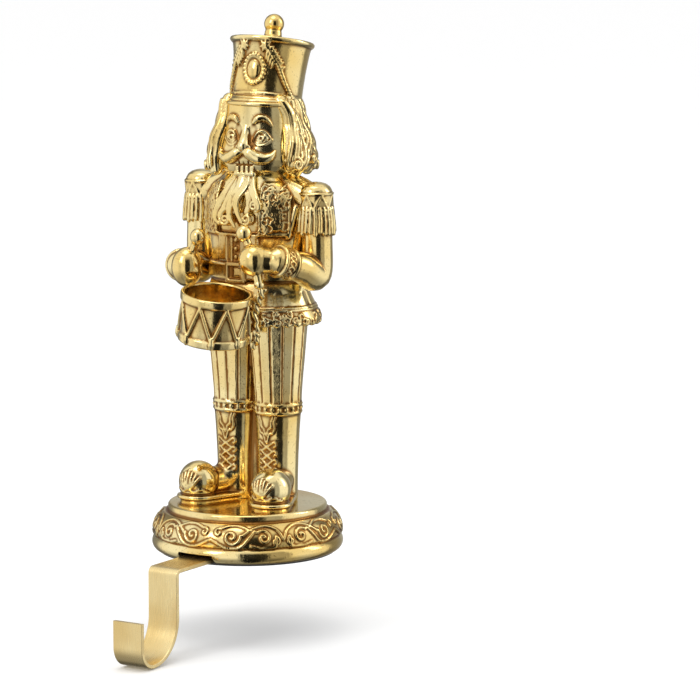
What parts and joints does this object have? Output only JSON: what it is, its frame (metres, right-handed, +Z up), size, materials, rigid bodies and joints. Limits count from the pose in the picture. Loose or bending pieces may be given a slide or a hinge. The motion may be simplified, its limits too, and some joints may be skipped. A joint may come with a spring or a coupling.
{
  "type": "mantel stocking holder",
  "caption": "Cast gold-leaf nutcracker drummer on a round footed base, with a flat steel arm screwed under it that runs over the mantel's edge and hangs down in a J hook.",
  "frame": {"origin": "middle of the pad's underside, on the top face of the mantel", "axes": "+Z up along the figure; the figure faces -Y, which is the side that the arm and hook come out of; +X is the figure's left"},
  "size_m": [0.0912, 0.1446, 0.2923],
  "materials": {
    "gold_leaf": "bright gold leaf over a cast figure, slightly pitted, with an orange-brown antique wash in the hollows",
    "brassed_steel": "satin brass-coloured plating on flat steel bar",
    "screw_steel": "zinc-plated steel",
    "black_felt": "thin black felt"
  },
  "bodies": {
    "root": {"nutcracker_casting": "gold_leaf", "hook_arm": "brassed_steel", "arm_screws": "screw_steel", "base_pad": "black_felt"}
  },
  "joints": []
}
